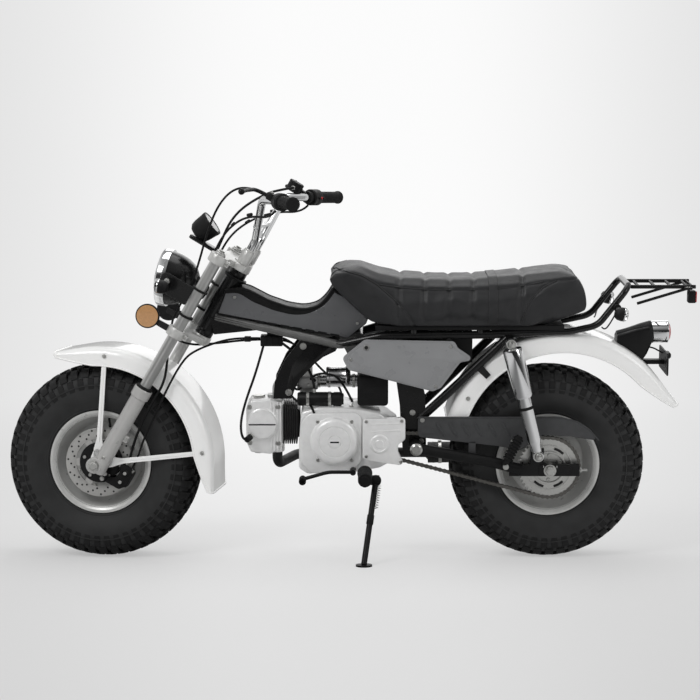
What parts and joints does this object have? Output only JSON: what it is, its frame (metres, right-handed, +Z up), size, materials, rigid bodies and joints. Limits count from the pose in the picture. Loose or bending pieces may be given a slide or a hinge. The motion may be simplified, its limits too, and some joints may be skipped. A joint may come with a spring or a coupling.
{
  "type": "minibike",
  "caption": "Fat-tyred minibike with a pressed spine frame, long bench seat, round headlamp, chain drive and side stand.",
  "frame": {"origin": "centre of the bounding box at the road", "axes": "-X forwards, +Z up, -Y to the machine's left, the side it leans to"},
  "size_m": [1.894, 0.79, 1.0487],
  "materials": {
    "frame": "black gloss paint",
    "spine": "dark grey gloss paint with a black edge",
    "frame_cables": "black sheath",
    "swingarm": "black satin paint",
    "rear_axle": "zinc plated",
    "shock_absorbers": "polished chrome",
    "fuel_tank": "black satin paint",
    "side_covers": "dark gloss",
    "rear_fender": "white gloss paint",
    "grab_loop": "black gloss paint",
    "rear_rack": "black satin paint",
    "tail_lamp": "black arm with a bright lamp shell",
    "rear_indicators": "black shell",
    "crankcase": "cast, satin",
    "cylinder": "black painted fins",
    "cylinder_head": "cast, satin",
    "sprocket_cover": "cast, brushed face",
    "starter_motor": "black satin paint",
    "carburettor": "cast, satin",
    "air_box": "black",
    "exhaust": "black heatproof paint",
    "footrests": "black, with rubber pegs",
    "passenger_pegs": "ribbed rubber",
    "gear_pedal": "black satin paint",
    "brake_pedal": "black satin paint",
    "chain": "oiled steel",
    "chain_guard": "black satin paint",
    "electrics_box": "black",
    "fork_legs": "chrome tubes over silver sliders",
    "top_bridge": "cast, silver paint",
    "lower_bridge": "black paint",
    "fork_reflectors": "amber",
    "front_axle": "zinc plated",
    "brake_caliper": "black paint",
    "front_fender": "white gloss paint",
    "handlebar": "polished chrome",
    "grips": "soft rubber",
    "left_controls": "black",
    "right_controls": "black",
    "headlamp": "black bowl, chrome ring and clear lens",
    "lamp_ears": "black paint",
    "front_indicators": "black shell",
    "speedometer": "black with a bright ring",
    "brake_hose": "black hose",
    "fork_cables": "black sheath",
    "front_tyre": "black rubber",
    "front_rim": "silver paint",
    "brake_disc": "ground steel",
    "rear_tyre": "black rubber",
    "rear_rim": "silver paint",
    "rear_sprocket": "zinc plated",
    "seat": "black vinyl",
    "side_stand": "black paint"
  },
  "bodies": {
    "chassis": {"frame": "frame", "spine": "spine", "frame_cables": "frame_cables", "swingarm": "swingarm", "rear_axle": "rear_axle", "shock_absorbers": "shock_absorbers", "fuel_tank": "fuel_tank", "side_covers": "side_covers", "rear_fender": "rear_fender", "grab_loop": "grab_loop", "rear_rack": "rear_rack", "tail_lamp": "tail_lamp", "rear_indicators": "rear_indicators", "crankcase": "crankcase", "cylinder": "cylinder", "cylinder_head": "cylinder_head", "sprocket_cover": "sprocket_cover", "starter_motor": "starter_motor", "carburettor": "carburettor", "air_box": "air_box", "exhaust": "exhaust", "footrests": "footrests", "passenger_pegs": "passenger_pegs", "gear_pedal": "gear_pedal", "brake_pedal": "brake_pedal", "chain": "chain", "chain_guard": "chain_guard", "electrics_box": "electrics_box"},
    "fork": {"fork_legs": "fork_legs", "top_bridge": "top_bridge", "lower_bridge": "lower_bridge", "fork_reflectors": "fork_reflectors", "front_axle": "front_axle", "brake_caliper": "brake_caliper", "front_fender": "front_fender", "handlebar": "handlebar", "grips": "grips", "left_controls": "left_controls", "right_controls": "right_controls", "headlamp": "headlamp", "lamp_ears": "lamp_ears", "front_indicators": "front_indicators", "speedometer": "speedometer", "brake_hose": "brake_hose", "fork_cables": "fork_cables"},
    "front_wheel": {"front_tyre": "front_tyre", "front_rim": "front_rim", "brake_disc": "brake_disc"},
    "rear_wheel": {"rear_tyre": "rear_tyre", "rear_rim": "rear_rim", "rear_sprocket": "rear_sprocket"},
    "seat_lid": {"seat": "seat"},
    "stand": {"side_stand": "side_stand"}
  },
  "joints": [
    {"name": "steering", "type": "hinge", "parent": "chassis", "child": "fork", "pos_m": [-0.31129, 0.03513, 0.77872], "axis": [0.5, -0.098, 0.8605], "range_deg": [-31, 49]},
    {"name": "front_wheel_spin", "type": "hinge", "parent": "fork", "child": "front_wheel", "pos_m": [-0.67863, 0.10293, 0.26934], "axis": [0.1355, 0.9902, 0.0341], "continuous": true},
    {"name": "rear_wheel_spin", "type": "hinge", "parent": "chassis", "child": "rear_wheel", "pos_m": [0.54171, 0.09327, 0.26852], "axis": [0, 0.9936, 0.1132], "continuous": true},
    {"name": "seat_hinge", "type": "hinge", "parent": "chassis", "child": "seat_lid", "pos_m": [0.23171, 0.16164, 0.65776], "axis": [-1, 0, 0], "range_deg": [0, 50]},
    {"name": "stand_hinge", "type": "hinge", "parent": "chassis", "child": "stand", "pos_m": [0.06971, -0.01417, 0.22206], "axis": [-0.0049, -0.9411, 0.3381], "range_deg": [0, 88]}
  ]
}
